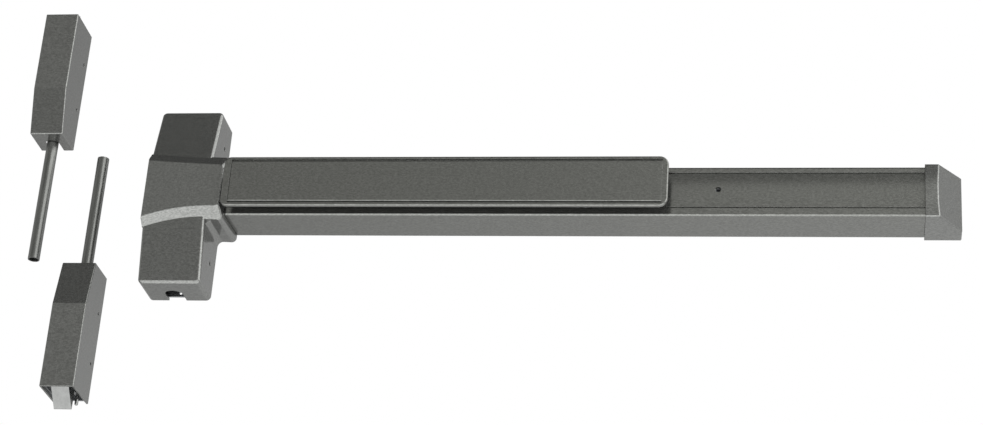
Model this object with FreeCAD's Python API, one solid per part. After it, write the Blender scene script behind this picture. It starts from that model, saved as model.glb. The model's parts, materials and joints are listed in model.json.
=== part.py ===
"""Surface vertical rod exit device: centre case, push rail, and the top and bottom latch sets.

Millimetres. X runs along the rail to the right, Y into the door, Z up. The door face is the plane
y = 0 and the device stands in front of it, at negative y. The origin is the centre of the case's
four mounting holes on the door face, level with the rail's centreline.
"""

import FreeCAD, Part
import math
import os

V = FreeCAD.Vector

# Sheet, fits and edges shared by several pieces
base_thick = 2.5            # chassis, rail back wall, brackets' feet
ear_thick = 2.0             # bent ears of the small brackets
slide_gap = 0.3             # between pieces that slide past each other
pin_gap = 0.1               # radial, round a pin or shaft
seat_gap = 0.2              # between a cover and what it fits over
overcut = 1.0               # how far a cutter runs past a surface
coil_steps = 12             # straight stretches in one turn of a spring
coil_sides = 6              # flat sides of the spring wire
screw_radius = 1.9          # the brackets' pan-head screws
screw_head_radius = 3.2
screw_head_height = 1.8
head_thick = 1.0            # heads and tails of the small pins

# Centre case cover
case_width = 67.9
case_height = 205.0
case_drop = 2.1             # the case's middle lies this far below the rail's centreline
case_wall = 2.4
case_depth_top = 41.0
case_depth_bottom = 46.5
case_depth_waist = 57.0     # depth of the two sloped blocks where they meet the hub
case_corner_radius = 5.0    # edges that run out from the door
case_edge_radius = 3.5      # edges round the front
hub_depth = 66.5
hub_reach_root = 20.05      # how far the hub's arm stands out past the blocks, at the door
hub_reach = 18.35           # the same where the hub springs from the blocks
hub_reach_front = 15.05     # the same at the hub's front face
hub_fillet = 6.5            # hollow corner between the arm and the lower block
hub_fillet_rise = 0.55      # arm's underside at that corner, above its right-hand end
hub_low_point = 0.42        # share of the width where the underside's middle height is given
hub_edge_radius = 1.4
hub_corner_radius = 5.0
waist_top_left = 41.2       # heights of the hub's outline where it springs from the blocks
waist_top_right = 37.0
waist_bottom_left = -44.8
waist_bottom_mid = -37.4
waist_bottom_right = -36.2
hub_top_left = 29.7         # heights of the hub's front face
hub_top_right = 24.6
hub_bottom_left = -37.4
hub_bottom_mid = -27.7
hub_bottom_right = -24.2
hub_top_bow = 0.5
rod_notch_radius = 9.6
case_screw_inset = 34.3     # cover screws, measured in from the case's ends
case_screw_depth = 20.0
case_screw_head = 2.4
case_screw_shank = 1.6
case_screw_length = 6.0

# Case chassis
chassis_clear = 1.0         # between the plate's ends and the cover's end walls
pilot_hole_x = 1.2          # small hole near each end of the plate
pilot_hole_inset = 4.1
pilot_hole_radius = 1.8
mount_hole_radius = 3.25
mount_pitch_x = 40.0
mount_inset_z = 26.5        # mounting holes, measured in from the case's ends
ear_height = 12.0
ear_reach = 27.0
lug_inset = 21.0            # rod guide lugs, measured in from the case's ends
lug_half_width = 12.0
lug_depth = 26.0
lug_thick = 3.0

# Rods and lift slides
rod_axis_depth = 16.5       # rods run this far in front of the door
rod_radius = 6.35
rod_bore_radius = 5.15
lift_x = -1.7               # the case's rod line
lift_half_width = 8.0
lift_thick = 3.0
lift_start = 16.0           # lift plates begin this far from the rail's centreline
lift_bare_stud = 20.0       # stud between the plate and the lug
lift_stud_radius = 5.6
lift_stud_past = 1.0        # stud past the lug
lift_tenon_length = 13.0    # the narrower end that enters the rod
lift_tenon_radius = 5.0

# Rail
rail_height = 55.4
rail_depth = 51.5
rail_wall = 2.5
rail_lip_wall = 2.0
rail_tuck = 6.05            # rail's left end, to the right of the blocks' wall
rail_end = 793.0
rail_lip_top = 6.4          # heights of the front lips
rail_lip_bottom = 8.6
rail_edge_radius = 2.2
filler_under_pad = 10.2      # filler plate hidden behind the pad's right end
filler_thick = 1.6
filler_tuck = 3.0           # filler plate edge hidden behind each lip
filler_bow = 0.9
filler_gap_top = 1.4        # dark gaps between the plate's raised middle and the lips
filler_gap_bottom = 1.2
filler_set_back = 0.4       # raised middle behind the lips' front
dogging_hole_radius = 3.0

# Push pad
pad_gap = 0.7               # between the hub's arm and the pad
pad_right = 522.2
pad_half_height = 28.3
pad_stand = 25.0            # pad's face in front of the rail
pad_rim_step = 0.3
pad_thick = 4.5
pad_travel = 16.0
pad_edge_radius = 1.5
pad_left_end = 7.5
pad_right_end = 12.0
pad_left_radius = 7.0
pad_right_radius = 9.5
face_half_height = 23.2
face_thick = 2.0
face_groove = 2.0           # dark groove above and below the face plate
face_groove_left = 0.9
face_groove_depth = 3.5
face_reach_right = 6.2      # the face plate stops this far short of the pad's right end
face_edge_radius = 0.5
pad_leg_height = 14.3
pad_leg_thick = 2.0
pad_leg_reach = 6.0
pad_tongue = 8.0
pad_tongue_fit = 7.2        # how far an end piece's tongue enters the base
pad_tongue_half = 10.0
pad_tongue_thick = 2.0

# Bell cranks in the rail
crank_x = (130.0, 430.0)
crank_depth = 30.0
crank_pad_arm = 24.0
crank_bar_arm = 18.0
crank_thick = 3.0
crank_low = 3.0             # underside of the crank plates
crank_hub_radius = 8.0
crank_tip_radius = 5.5
pivot_radius = 3.0
link_pin_radius = 2.5
bracket_ear = 10.0          # crank bracket ears stand this far above and below the bar
bracket_half_length = 9.0
bracket_foot_half = 21.6
bracket_ear_half = 7.2
bracket_screw_reach = 16.2
pivot_head_radius = 4.8
pivot_spacer_radius = 4.5
link_head_radius = 4.0
spring_wire_radius = 0.5
spring_turns = 2
spring_leg = 8.0
pad_bracket_ear = 10.0
pad_bracket_half_length = 6.0

# Plate that joins the chassis and the rail
splice_start = 8.0
splice_end = 70.0
splice_half_height = 16.0
splice_screw_inset = 10.0
splice_screw_rise = 10.0

# Drive bar
bar_half_thick = 1.5
bar_near = 7.5              # bar edges, measured out from the door
bar_far = 18.0
bar_tail = 4.5

# Lift levers in the case
lever_arm = 18.5
lever_offset = 18.1         # lever pivots to the left of the rod line
lever_thick = 2.5
lever_hub_radius = 6.5
lever_tip_radius = 5.2
lever_gap = 0.5

# Dogging
dogging_from_pad = 49.7     # spindle to the right of the pad
dogging_rise = 1.7          # spindle above the rail's centreline
dogging_stud_offset = 12.0
dogging_spindle_radius = 5.0
dogging_pivot_radius = 3.0
dogging_socket = 4.8
dogging_socket_depth = 8.0
dogging_setback = 11.5      # bracket's front plate behind the rail's front
dogging_half_height = 16.0
dogging_foot_left = 6.0
dogging_plate_left = 9.0
dogging_right = 16.0
dogging_screw_x = 6.0
dogging_screw_rise = 11.0
hook_low = 3.2
hook_tooth_low = 5.0
hook_high = 7.5
hook_tooth_start = 15.0
hook_tooth_end = 21.0
hook_thick = 2.5

# End cap and its bracket
cap_overlap = 11.9          # cap over the rail
cap_front_reach = 0.9       # past the rail's end, at the front and at the door
cap_reach = 25.8
cap_proud = 4.9             # crown of the cap's front, in front of the rail's
cap_crown = 2.0
cap_side_depth = 19.7
cap_step = 3.3              # cap above and below the rail, at the door and at the front
cap_step_front = 1.8
cap_wall = 1.5
cap_edge_radius = 1.5
end_hole_radius = 3.0
end_hole_pitch = 26.0
end_ear_reach = 16.0
end_ear_start = 4.0
end_ear_clear = 2.0
end_tongue = 34.0
end_clear = 1.0
end_hole_shift = 1.5
end_screw_inset = 22.0
end_screw_rise = 14.0

# Latch sets
latch_x = {"top": -163.4, "bottom": -102.6}
latch_tip_z = {"top": 219.6, "bottom": -223.6}
rod_free_z = {"top": -65.0, "bottom": 56.3}
latch_width = 37.0
latch_length = 144.4
latch_depth = 51.5
latch_depth_rod_end = 40.5
latch_bend = 93.0           # where the front starts to lean back, from the open end
latch_wall = 1.9
latch_edge_radius = 1.1
latch_notch_radius = 7.7
latch_flange_reach = 43.0
latch_flange_end = 112.0
latch_base_end = 128.0
latch_base_start = 3.0
latch_screw_depth = 10.0
latch_screw_near = 41.5
latch_screw_far = 98.5
latch_screw_head = 1.9
latch_screw_shank = 1.3
latch_hole_radius = 2.6
latch_hole_pitch_x = 18.0
latch_hole_near = 30.0
latch_hole_pitch_z = 90.0

# Bolt, its guides and springs, measured from the cover's open end
bolt_half_width = 9.5
bolt_front = 42.0
bolt_back = 21.5
bolt_heel_back = 11.0
bolt_throw = 14.3
bolt_nose = 1.0
bolt_heel_start = 6.0
bolt_heel_end = 18.0
bolt_press = 12.0
shank_radius = 4.5
shank_end = 80.0
bolt_guide_start = 8.0
guide_thick = 3.5
connector_guide_start = 84.0
guide_edge = 4.0
bolt_spring_coils = 8
bolt_spring_wire = 0.7
connector_radius = 7.0
connector_start = 64.0
connector_end = 100.0
connector_floor = 3.0
connector_spigot = 14.0
spigot_radius = 5.3
connector_pin_radius = 2.0
connector_pin_u = 73.5
trigger_x = 11.9
trigger_depth = 17.0
trigger_radius = 1.9
trigger_collar_radius = 2.2
trigger_stem_radius = 1.2
trigger_throw = 8.0
trigger_collar_end = 15.0
trigger_tab_start = 36.0
trigger_tab_thick = 1.6
trigger_coils = 8
trigger_wire = 0.35

# Worked out from the sizes above
case_top = case_height / 2 - case_drop
case_bottom = -case_height / 2 - case_drop
hub_end_root = case_width / 2 + hub_reach_root
hub_end = case_width / 2 + hub_reach
hub_end_front = case_width / 2 + hub_reach_front
case_screw_rise = case_height / 2 - case_screw_inset
mount_pitch_z = case_height - 2 * mount_inset_z
lug_height = case_height / 2 - lug_inset
lift_plate_end = lug_height - lug_thick / 2 - lift_bare_stud
lift_tenon_start = lug_height + lug_thick / 2 + lift_stud_past
lift_stud_end = lift_tenon_start + lift_tenon_length
rail_start = case_width / 2 + rail_tuck
pad_left = hub_end + pad_gap
pad_face_depth = rail_depth + pad_stand
pad_rim_depth = pad_face_depth - pad_rim_step
pad_back_depth = pad_face_depth - pad_thick
filler_start = pad_right - filler_under_pad
cap_left = rail_end - cap_overlap
cap_front_right = rail_end + cap_front_reach
cap_right = rail_end + cap_reach
cap_depth = rail_depth + cap_proud
cap_height = rail_height + 2 * cap_step
cap_draft = (cap_step - cap_step_front) / (cap_depth - cap_crown)
dogging_x = pad_right + dogging_from_pad
dogging_plate_depth = rail_depth - dogging_setback
lever_x = lift_x - lever_offset
crank_swing = math.asin(pad_travel / 2 / crank_pad_arm)
bar_travel = 2 * crank_bar_arm * math.sin(crank_swing)
lever_swing = math.atan(bar_travel / 2 / lever_arm)
rail_inside = rail_height / 2 - rail_wall
lip_high = rail_height / 2 - rail_lip_top
lip_low = rail_lip_bottom - rail_height / 2
drive_pin_x = lever_x + bar_travel / 2
dogging_stud_x = dogging_x - dogging_stud_offset


def vec(axis, a, b, along):
    """Point at (a, b) across an axis and at `along` on it; a and b keep X, Y, Z order."""
    return {"x": V(along, a, b), "y": V(a, along, b), "z": V(a, b, along)}[axis]


def unit(axis):
    """Unit vector of an axis."""
    return vec(axis, 0, 0, 1)


def box(x0, x1, y0, y1, z0, z1):
    """Box between two corners."""
    return Part.makeBox(x1 - x0, y1 - y0, z1 - z0, V(x0, y0, z0))


def rod(axis, a, b, radius, low, high):
    """Round bar along an axis."""
    return Part.makeCylinder(radius, high - low, vec(axis, a, b, low), unit(axis))


def prism(axis, points, low, high):
    """Straight-edged outline carried along an axis."""
    corners = [vec(axis, a, b, low) for a, b in points]
    face = Part.Face(Part.makePolygon(corners + corners[:1]))
    return face.extrude(unit(axis) * (high - low))


def link(axis, p, q, radius, low, high):
    """Round-ended plate from p to q, or the slot of the same form."""
    dx = q[0] - p[0]
    dy = q[1] - p[1]
    length = math.hypot(dx, dy)
    nx = -dy / length * radius
    ny = dx / length * radius
    sides = [(p[0] + nx, p[1] + ny), (q[0] + nx, q[1] + ny), (q[0] - nx, q[1] - ny),
             (p[0] - nx, p[1] - ny)]
    ends = [rod(axis, p[0], p[1], radius, low, high), rod(axis, q[0], q[1], radius, low, high)]
    return prism(axis, sides, low, high).multiFuse(ends).removeSplitter()


def polar(centre, angle, radius):
    """Point at an angle and distance from a centre."""
    return (centre[0] + radius * math.cos(angle), centre[1] + radius * math.sin(angle))


def arc(p, q, r):
    """Edge of a circle through three points."""
    return Part.Arc(p, q, r).toShape()


def line(p, q):
    """Straight edge."""
    return Part.LineSegment(p, q).toShape()


def join(first, *others):
    """One solid out of pieces that meet."""
    return first.multiFuse(list(others)).removeSplitter()


def soften(solid, radius, wanted):
    """Round the edges for which wanted(edge) holds."""
    edges = [e for e in solid.Edges if wanted(e)]
    return solid.makeFillet(radius, edges)


def at_door(edge):
    """True for an edge that lies on the door face."""
    return all(abs(v.Y) < 1e-6 for v in edge.Vertexes)


def hexagon(axis, a, b, across, low, high):
    """Hexagonal socket cutter."""
    corner = across / math.sqrt(3)
    points = [polar((a, b), math.radians(60 * i), corner) for i in range(6)]
    return prism(axis, points, low, high)


def coil(a, b, mean_radius, wire, low, high, turns):
    """Coil spring standing up between two heights, drawn as a bent bar with flat sides."""
    count = turns * coil_steps
    climb = (high - low - 2 * wire) / count
    points = []
    for i in range(count + 1):
        x, y = polar((a, b), 2 * math.pi * i / coil_steps, mean_radius)
        points.append(V(x, y, low + wire + climb * i))
    ahead = (points[1] - points[0]).normalize()
    across = ahead.cross(V(1, 0, 0)).normalize()
    outward = across.cross(ahead).normalize()
    corners = []
    for i in range(coil_sides):
        u, v = polar((0, 0), 2 * math.pi * i / coil_sides, wire)
        corners.append(points[0] + outward * u + across * v)
    section = Part.makePolygon(corners + corners[:1])
    return Part.makePolygon(points).makePipeShell([section], True, False, 1)


# Centre case cover

def hub_outline(y, left, right, tops, bottoms, corner):
    """Closed outline of the hub at depth y: bowed top, rounded right-hand corners, curved underside."""
    top_left, top_right = tops
    low_left, low_mid, low_right = bottoms
    mid_x = (left + right) / 2
    bend = corner * (1 - math.sqrt(0.5))
    a = V(left, y, top_left)
    b = V(right - corner, y, top_right)
    c = V(right, y, top_right - corner)
    d = V(right, y, low_right + corner)
    e = V(right - corner, y, low_right)
    f = V(left, y, low_left)
    edges = [
        arc(a, V(mid_x, y, (top_left + top_right) / 2 - hub_top_bow), b),
        arc(b, V(right - bend, y, top_right - bend), c),
        line(c, d),
        arc(d, V(right - bend, y, low_right + bend), e),
        arc(e, V(left + (right - left) * hub_low_point, y, low_mid), f),
        line(f, a),
    ]
    return Part.Wire(edges)


def hub_solid(inset):
    """The hub and its arm, drawn in by `inset` on every side but the door's."""
    left = -case_width / 2 + inset
    tops = (waist_top_left - inset, waist_top_right - inset)
    bottoms = (waist_bottom_left + inset, waist_bottom_mid + inset, waist_bottom_right + inset)
    root = hub_outline(0, left, hub_end_root - inset, tops, bottoms, hub_corner_radius)
    waist = hub_outline(-case_depth_waist, left, hub_end - inset, tops, bottoms, hub_corner_radius)
    front = hub_outline(
        -hub_depth + inset, left, hub_end_front - inset,
        (hub_top_left - inset, hub_top_right - inset),
        (hub_bottom_left + inset, hub_bottom_mid + inset, hub_bottom_right + inset),
        hub_corner_radius,
    )
    arm = Part.makeLoft([root, waist], True, True)
    nose = Part.makeLoft([waist, front], True, True)
    solid = join(arm, nose)
    if inset:
        return solid
    return soften(solid, hub_edge_radius, lambda e: all(abs(v.Y + hub_depth) < 1e-6 for v in e.Vertexes))


def block_solid(inset):
    """The upper and lower sloped blocks as one body, drawn in by `inset`."""
    profile = [
        (0, case_top - inset),
        (-case_depth_top + inset, case_top - inset),
        (-case_depth_waist + inset, waist_top_left),
        (-case_depth_waist + inset, waist_bottom_left),
        (-case_depth_bottom + inset, case_bottom + inset),
        (0, case_bottom + inset),
    ]
    half = case_width / 2 - inset
    solid = prism("x", profile, -half, half)
    if inset:
        return solid

    def outward(edge):
        a, b = edge.Vertexes
        return abs(a.X - b.X) < 1e-6 and abs(a.Z - b.Z) < 1e-6

    solid = soften(solid, case_corner_radius, outward)

    def front(edge):
        a, b = edge.Vertexes
        at_waist = abs(abs(a.X - b.X) - case_width) < 1e-6
        return not at_door(edge) and not outward(edge) and not at_waist

    return soften(solid, case_edge_radius, front)


def rod_notch(radius, x, low, high):
    """U-shaped cutter for a rod, open to the door."""
    slot = box(x - radius, x + radius, -rod_axis_depth, overcut, low, high)
    return join(rod("z", x, -rod_axis_depth, radius, low, high), slot)


def case_screw_places():
    """Side, height of each case cover screw."""
    return [(side, rise * case_screw_rise - case_drop) for side in (-1, 1) for rise in (-1, 1)]


def arm_fillet():
    """Hollow corner that runs out from the door between the lower block's wall and the arm."""
    wall = case_width / 2
    under = waist_bottom_right + hub_fillet_rise
    front = case_edge_radius - case_depth_waist
    corner = box(wall - overcut, wall + hub_fillet, front, 0, under - hub_fillet, under + overcut)
    return corner.cut(rod("y", wall + hub_fillet, under - hub_fillet, hub_fillet,
                          front - overcut, overcut))


def case_cover():
    """The one-piece case cover."""
    shell = join(block_solid(0), hub_solid(0), arm_fillet())
    hollow = join(block_solid(case_wall), hub_solid(case_wall))
    shell = shell.cut(hollow)
    window = box(
        hub_end - case_wall - overcut, hub_end_root + overcut, -rail_depth - 2 * seat_gap, overcut,
        -rail_height / 2 - 2 * seat_gap, rail_height / 2 + 2 * seat_gap,
    )
    cutters = [window]
    cutters.append(rod_notch(rod_notch_radius, lift_x, case_bottom - overcut,
                             case_bottom + case_wall + overcut))
    cutters.append(rod_notch(rod_notch_radius, lift_x, case_top - case_wall - overcut,
                             case_top + overcut))
    for side, z in case_screw_places():
        near, far = sorted((side * (case_width / 2 - case_wall - overcut),
                            side * (case_width / 2 + overcut)))
        cutters.append(rod("x", -case_screw_depth, z, case_screw_head + pin_gap, near, far))
    return shell.cut(cutters)


def case_cover_screws():
    """Socket screws through the cover's sides into the chassis ears."""
    screws = []
    face = case_width / 2 - seat_gap
    for side, z in case_screw_places():
        outer = side * face
        inner = side * (case_width / 2 - case_wall)
        tip = side * (face - case_screw_length)
        head = rod("x", -case_screw_depth, z, case_screw_head, min(outer, inner), max(outer, inner))
        shank = rod("x", -case_screw_depth, z, case_screw_shank, min(inner, tip), max(inner, tip))
        socket_end = side * (face - case_wall * 0.6)
        low, high = sorted((outer + side * overcut, socket_end))
        socket = hexagon("x", -case_screw_depth, z, case_screw_head, low, high)
        screws.append(join(head, shank).cut(socket))
    return Part.makeCompound(screws)


def case_chassis():
    """Steel plate on the door, with ears for the cover and lugs that guide the lift studs."""
    half = case_width / 2 - case_wall - seat_gap
    low = case_bottom + case_wall + chassis_clear
    high = case_top - case_wall - chassis_clear
    plate = box(-half, half, -base_thick, 0, low, high)
    solids = []
    cutters = []
    for z in (low + pilot_hole_inset, high - pilot_hole_inset):
        cutters.append(rod("y", pilot_hole_x, z, pilot_hole_radius, -base_thick - overcut, overcut))
    for side, z in case_screw_places():
        x0, x1 = sorted((side * half, side * (half - base_thick)))
        solids.append(box(x0, x1, -ear_reach, 0, z - ear_height / 2, z + ear_height / 2))
        cutters.append(rod("x", -case_screw_depth, z, case_screw_shank + pin_gap,
                           x0 - overcut, x1 + overcut))
    for z in (-lug_height, lug_height):
        low = z - lug_thick / 2
        high = z + lug_thick / 2
        solids.append(box(lift_x - lug_half_width, lift_x + lug_half_width, -lug_depth, 0, low, high))
        cutters.append(rod("z", lift_x, -rod_axis_depth, lift_stud_radius + slide_gap,
                           low - overcut, high + overcut))
    for x in (-mount_pitch_x / 2, mount_pitch_x / 2):
        for z in (-mount_pitch_z / 2, mount_pitch_z / 2):
            cutters.append(rod("y", x, z, mount_hole_radius, -base_thick - overcut, overcut))
    cutters += splice_holes()
    return join(plate, *solids).cut(cutters)


# Lift slides and levers

def lift_slide(up):
    """Plate and stud that pull a rod; `up` is 1 for the top rod and -1 for the bottom rod."""
    front = -rod_axis_depth - lift_thick / 2
    back = -rod_axis_depth + lift_thick / 2
    low, high = sorted((up * lift_start, up * lift_plate_end))
    plate = box(lift_x - lift_half_width, lift_x + lift_half_width, front, back, low, high)
    low, high = sorted((up * (lift_plate_end - overcut), up * lift_tenon_start))
    stud = rod("z", lift_x, -rod_axis_depth, lift_stud_radius, low, high)
    low, high = sorted((up * lift_tenon_start, up * lift_stud_end))
    tenon = rod("z", lift_x, -rod_axis_depth, lift_tenon_radius, low, high)
    pin_z = up * (lever_arm + lever_arm * math.sin(lever_swing))
    pin_x = lever_x + lever_arm * math.cos(lever_swing)
    reach = lever_arm - lever_arm * math.cos(lever_swing)
    slot = link(
        "y", (pin_x - slide_gap, pin_z), (pin_x + reach + slide_gap, pin_z),
        link_pin_radius + slide_gap, front - overcut, back + overcut,
    )
    return join(plate, stud, tenon).cut(slot)


def lever_layer(up):
    """Front and back planes of a lever; the two levers lie one in front of the other."""
    back = -rod_axis_depth - lift_thick / 2 - lever_gap
    if up < 0:
        back -= lever_thick + lever_gap
    return back - lever_thick, back


def lift_lever(up):
    """Bell crank that turns the bar's pull into the rod's pull."""
    front, back = lever_layer(up)
    pivot = (lever_x, up * lever_arm)
    swing = lever_swing
    drive_angle = -math.pi / 2 + swing
    lift_angle = swing
    drive = polar(pivot, up * drive_angle, lever_arm / math.cos(swing))
    lift = polar(pivot, up * lift_angle, lever_arm)
    plate = join(
        link("y", pivot, drive, lever_tip_radius, front, back),
        link("y", pivot, lift, lever_tip_radius, front, back),
        rod("y", pivot[0], pivot[1], lever_hub_radius, front, back),
    )
    slot = link(
        "y", polar(pivot, up * drive_angle, lever_arm - slide_gap),
        polar(pivot, up * drive_angle, lever_arm / math.cos(swing) + slide_gap),
        link_pin_radius + slide_gap, front - overcut, back + overcut,
    )
    bore = rod("y", pivot[0], pivot[1], pivot_radius + pin_gap, front - overcut, back + overcut)
    pin_end = -rod_axis_depth + lift_thick / 2 + lever_gap
    pin = rod("y", lift[0], lift[1], link_pin_radius, back - lever_thick / 2, pin_end)
    return join(plate.cut([slot, bore]), pin)


def lever_pins():
    """Shouldered pivot pins that stand on the chassis."""
    pins = []
    for up in (-1, 1):
        front, back = lever_layer(up)
        pin = rod("y", lever_x, up * lever_arm, pivot_radius, front - lever_gap, -base_thick)
        collar = rod("y", lever_x, up * lever_arm, lever_hub_radius - 2 * lever_gap,
                     back + slide_gap, -base_thick)
        head = rod("y", lever_x, up * lever_arm, lever_hub_radius - 2 * lever_gap,
                   front - slide_gap - 2 * lever_gap, front - slide_gap)
        pins.append(join(pin, collar, head))
    return Part.makeCompound(pins)


# Drive bar

def drive_bar():
    """Flat bar in the rail, with the drive pin at the case and the dogging stud at its far end."""
    tail = dogging_stud_x + bar_tail
    bar = box(drive_pin_x - bar_tail, tail, -bar_far, -bar_near, -bar_half_thick, bar_half_thick)
    block = box(
        drive_pin_x - link_pin_radius - overcut, drive_pin_x + bar_tail, -bar_far, -bar_near,
        -link_pin_radius - overcut, link_pin_radius + overcut,
    )
    front, back = lever_layer(-1)
    pin = rod("y", drive_pin_x, 0, link_pin_radius, front - lever_gap, -bar_near)
    stud_block = box(
        dogging_stud_x - link_pin_radius - overcut, tail, -bar_far, -bar_near,
        -link_pin_radius - overcut, link_pin_radius + overcut,
    )
    stud = rod("y", dogging_stud_x, 0, link_pin_radius, -hook_front() - lever_gap, -bar_near)
    solid = join(bar, block, pin, stud_block, stud)
    slots = []
    for x in crank_x:
        near, far = crank_pin_depths()
        pin_x = x + crank_bar_arm * math.sin(crank_swing)
        slots.append(link(
            "z", (pin_x, -far - slide_gap), (pin_x, -near + slide_gap), link_pin_radius + slide_gap,
            -bar_half_thick - overcut, bar_half_thick + overcut,
        ))
    return solid.cut(slots)


def crank_pin_depths():
    """Least and greatest distance of a crank's bar pin from the door."""
    return crank_depth - crank_bar_arm, crank_depth - crank_bar_arm * math.cos(crank_swing)


# Bell cranks and their brackets

def bell_crank(x):
    """Crank plate: a slotted arm for the pad pin and a pinned arm for the bar."""
    pivot = (x, -crank_depth)
    low = crank_low
    high = crank_low + crank_thick
    pad_angle = -crank_swing
    bar_angle = math.pi / 2 - crank_swing
    pad_tip = polar(pivot, pad_angle, crank_pad_arm)
    bar_tip = polar(pivot, bar_angle, crank_bar_arm)
    plate = join(
        link("z", pivot, pad_tip, crank_tip_radius, low, high),
        link("z", pivot, bar_tip, crank_tip_radius, low, high),
        rod("z", pivot[0], pivot[1], crank_hub_radius, low, high),
    )
    slot_near = polar(pivot, pad_angle, crank_pad_arm * math.cos(crank_swing) - slide_gap)
    slot_far = polar(pivot, pad_angle, crank_pad_arm + slide_gap)
    slot = link("z", slot_near, slot_far, link_pin_radius + slide_gap, low - overcut, high + overcut)
    bore = rod("z", pivot[0], pivot[1], pivot_radius + pin_gap, low - overcut, high + overcut)
    pin = rod("z", bar_tip[0], bar_tip[1], link_pin_radius, -bar_half_thick - lever_gap,
              low + crank_thick / 2)
    return join(plate.cut([slot, bore]), pin)


def bracket_screw_places():
    """Every screw that holds a bracket foot to the rail or chassis: x, z."""
    places = []
    for x in crank_x:
        places += [(x - bracket_screw_reach, 0), (x + bracket_screw_reach, 0)]
    for side in (-1, 1):
        places.append((dogging_x + dogging_screw_x, side * dogging_screw_rise))
        places.append((rail_end - end_screw_inset, side * end_screw_rise))
    places += splice_screw_places()
    return places


def splice_screw_places():
    """Screws of the plate that joins the chassis and the rail."""
    ends = (splice_start + splice_screw_inset, splice_end - splice_screw_inset)
    return [(x, z) for x in ends for z in (-splice_screw_rise, splice_screw_rise)]


def foot_holes(places):
    """Clearance holes through a foot and the wall under it."""
    return [rod("y", x, z, screw_radius + pin_gap, -3 * base_thick, overcut) for x, z in places]


def bracket_screws():
    """Pan-head screws of all the brackets."""
    screws = []
    for x, z in bracket_screw_places():
        seat = -2 * base_thick
        shank = rod("y", x, z, screw_radius, seat, -seat_gap)
        head = rod("y", x, z, screw_head_radius, seat - screw_head_height, seat)
        socket = hexagon("y", x, z, screw_radius, seat - screw_head_height - overcut,
                         seat - screw_head_height / 2)
        screws.append(join(shank, head).cut(socket))
    return Part.makeCompound(screws)


def splice_holes():
    """Clearance holes for the splice plate's screws."""
    return foot_holes(splice_screw_places())


def splice_plate():
    """Flat plate that ties the rail's back wall to the chassis."""
    plate = box(splice_start, splice_end, -2 * base_thick, -base_thick, -splice_half_height,
                splice_half_height)
    return plate.cut(splice_holes())


def crank_bracket(x):
    """Folded bracket that carries a crank's pivot pin."""
    reach = bracket_ear + ear_thick
    foot = box(x - bracket_foot_half, x + bracket_foot_half, -2 * base_thick, -base_thick, -reach, reach)
    ears = []
    for z in (-reach, bracket_ear):
        neck = (x, -base_thick - bracket_half_length)
        ears.append(link("z", (x, -crank_depth), neck, bracket_ear_half, z, z + ear_thick))
        ears.append(box(x - bracket_ear_half, x + bracket_ear_half,
                        neck[1], -1.5 * base_thick, z, z + ear_thick))
    bore = rod("z", x, -crank_depth, pivot_radius, -reach - overcut, reach + overcut)
    return join(foot, *ears).cut([bore] + foot_holes(bracket_screw_places()))


def crank_pins():
    """Pivot pins of the cranks, headed at the top."""
    reach = bracket_ear + ear_thick
    pins = []
    for x in crank_x:
        pin = rod("z", x, -crank_depth, pivot_radius, -reach - head_thick, reach)
        head = rod("z", x, -crank_depth, pivot_head_radius, reach, reach + head_thick)
        spacer = rod("z", x, -crank_depth, pivot_spacer_radius, -bracket_ear, crank_low - slide_gap)
        pins.append(join(pin, head, spacer))
    return Part.makeCompound(pins)


def crank_spring(x):
    """Torsion spring round a crank's pivot pin, with a straight leg at each end."""
    low = crank_low + crank_thick + slide_gap
    high = bracket_ear - seat_gap
    mean = pivot_radius + spring_wire_radius + slide_gap
    spring = coil(x, -crank_depth, mean, spring_wire_radius, low, high, spring_turns)
    near = rod("y", x + mean, low + spring_wire_radius, spring_wire_radius,
               -crank_depth - spring_leg, -crank_depth)
    far = rod("y", x + mean, high - spring_wire_radius, spring_wire_radius,
              -crank_depth, -crank_depth + spring_leg)
    return join(spring, near, far)


# Rail and what closes it

def rail_channel():
    """Channel extrusion, open between two lips at the front."""
    half = rail_height / 2
    outside = box(rail_start, rail_end, -rail_depth, 0, -half, half)

    def front_edge(edge):
        along = abs(edge.Vertexes[0].X - edge.Vertexes[1].X) > overcut
        return along and abs(edge.Vertexes[0].Y + rail_depth) < 1e-6

    outside = soften(outside, rail_edge_radius, front_edge)
    inside = box(rail_start - overcut, rail_end + overcut, -rail_depth + rail_lip_wall, -base_thick,
                 -rail_inside, rail_inside)
    mouth = box(rail_start - overcut, rail_end + overcut, -rail_depth - overcut, -rail_depth + rail_wall,
                lip_low, lip_high)
    return outside.cut([inside, mouth] + foot_holes(bracket_screw_places()))


def filler_plate():
    """Slightly bowed plate behind the lips, between the pad and the end cap."""
    back = -rail_depth + rail_lip_wall + filler_thick + seat_gap
    rim = back - filler_thick
    crown = -rail_depth + filler_set_back
    x = filler_start
    low = lip_low + filler_gap_bottom
    high = lip_high - filler_gap_top
    corners = [
        V(x, crown, low), V(x, rim, low),
        V(x, rim, lip_low - filler_tuck), V(x, back, lip_low - filler_tuck),
        V(x, back, lip_high + filler_tuck), V(x, rim, lip_high + filler_tuck),
        V(x, rim, high), V(x, crown, high),
    ]
    edges = [line(p, q) for p, q in zip(corners, corners[1:])]
    edges.append(arc(corners[-1], V(x, crown - filler_bow, (low + high) / 2), corners[0]))
    plate = Part.Face(Part.Wire(edges)).extrude(V(cap_left + cap_wall * 2 - filler_start, 0, 0))
    hole = rod("y", dogging_x, dogging_rise, dogging_hole_radius,
               -rail_depth - filler_bow - overcut, back + overcut)
    return plate.cut(hole)


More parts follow.
